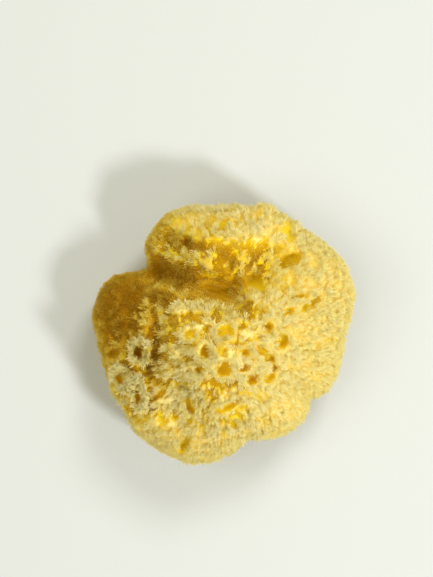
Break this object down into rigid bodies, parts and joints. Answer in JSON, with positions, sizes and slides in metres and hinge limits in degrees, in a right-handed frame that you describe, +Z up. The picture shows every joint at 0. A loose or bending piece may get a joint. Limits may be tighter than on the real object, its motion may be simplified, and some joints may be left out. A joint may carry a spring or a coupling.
{
  "type": "sea sponge",
  "caption": "Natural bath sponge: a rounded, lobed and tufted mass with round pores and deep valleys on top, cut off flat underneath where it grew.",
  "frame": {"origin": "middle of the sponge's plan box, on the plane of its flat cut base", "axes": "+Z up from the cut, the way it grew; +X to the right and +Y up the page when the sponge is seen from above"},
  "size_m": [0.1386, 0.1374, 0.0859],
  "materials": {
    "sponge": "matt, soft and fibrous; bleached golden yellow, paler at the fibres' tips and deep gold in the pores"
  },
  "bodies": {
    "root": {"sponge": "sponge"}
  },
  "joints": []
}
